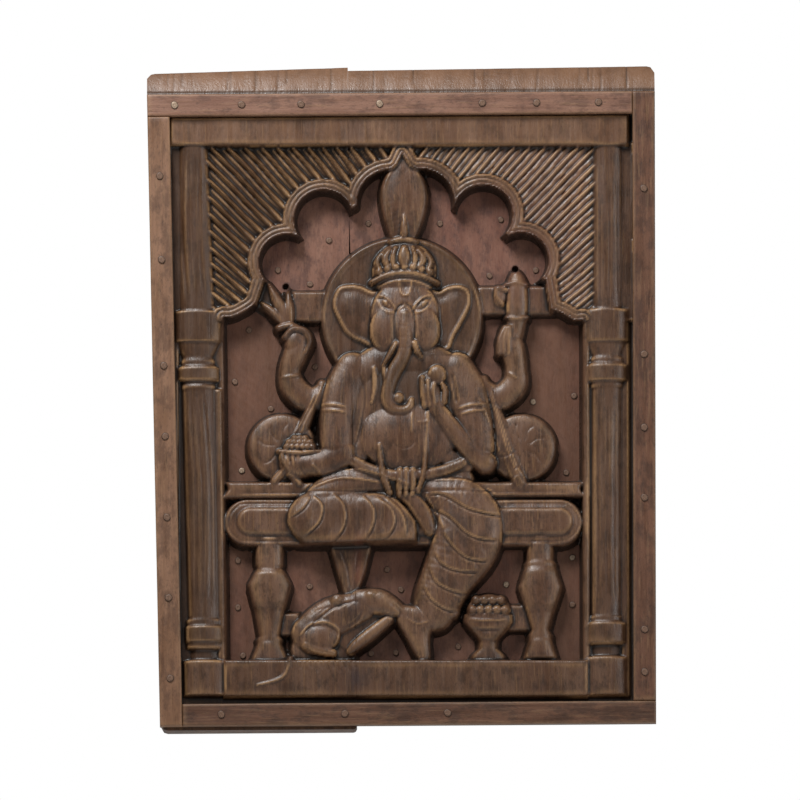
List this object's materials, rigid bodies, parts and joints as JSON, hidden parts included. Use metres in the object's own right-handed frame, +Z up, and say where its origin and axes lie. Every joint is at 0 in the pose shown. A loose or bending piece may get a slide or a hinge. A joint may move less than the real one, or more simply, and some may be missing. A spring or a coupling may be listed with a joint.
{
  "type": "carved wall panel",
  "caption": "Wooden wall panel carved in pierced relief with a seated elephant-headed figure under a cusped arch, framed by plain nailed battens over a backing board.",
  "frame": {"origin": "middle of the panel's overall outline, on the flat back face of the backing board that lies on the wall", "axes": "+Z up, +X to the viewer's right, the carved front faces -Y, the wall is on the +Y side"},
  "size_m": [0.5087, 0.0458, 0.6744],
  "materials": {
    "carved_wood": "old dark brown hardwood, hand carved, worn pale on the arrises, dirt in the hollows",
    "backing_wood": "reddish brown hardwood, chatter marks, matt stain",
    "batten_wood": "planed reddish brown strips, stained and rubbed",
    "nail_iron": "dull dark iron nail heads, rubbed"
  },
  "bodies": {
    "root": {"board_left": "carved_wood", "board_right": "carved_wood", "backing_board": "backing_wood", "batten_top": "batten_wood", "batten_right": "batten_wood", "batten_bottom": "batten_wood", "batten_left": "batten_wood", "batten_nail_01": "nail_iron", "batten_nail_02": "nail_iron", "batten_nail_03": "nail_iron", "batten_nail_04": "nail_iron", "batten_nail_05": "nail_iron", "batten_nail_06": "nail_iron", "batten_nail_07": "nail_iron", "batten_nail_08": "nail_iron", "batten_nail_09": "nail_iron", "batten_nail_10": "nail_iron", "batten_nail_11": "nail_iron", "batten_nail_12": "nail_iron", "batten_nail_13": "nail_iron", "batten_nail_14": "nail_iron", "batten_nail_15": "nail_iron", "batten_nail_16": "nail_iron", "batten_nail_17": "nail_iron", "batten_nail_18": "nail_iron", "batten_nail_19": "nail_iron", "batten_nail_20": "nail_iron", "batten_nail_21": "nail_iron", "batten_nail_22": "nail_iron", "batten_nail_23": "nail_iron", "backing_nail_01": "nail_iron", "backing_nail_02": "nail_iron", "backing_nail_03": "nail_iron", "backing_nail_04": "nail_iron", "backing_nail_05": "nail_iron", "backing_nail_06": "nail_iron", "backing_nail_07": "nail_iron", "backing_nail_08": "nail_iron", "backing_nail_09": "nail_iron", "backing_nail_10": "nail_iron", "backing_nail_11": "nail_iron", "backing_nail_12": "nail_iron", "backing_nail_13": "nail_iron", "backing_nail_14": "nail_iron", "backing_nail_15": "nail_iron", "backing_nail_16": "nail_iron", "backing_nail_17": "nail_iron", "backing_nail_18": "nail_iron", "backing_nail_19": "nail_iron", "backing_nail_20": "nail_iron", "backing_nail_21": "nail_iron", "backing_nail_22": "nail_iron", "backing_nail_23": "nail_iron", "backing_nail_24": "nail_iron", "backing_nail_25": "nail_iron", "backing_nail_26": "nail_iron", "backing_nail_27": "nail_iron", "backing_nail_28": "nail_iron"}
  },
  "joints": []
}
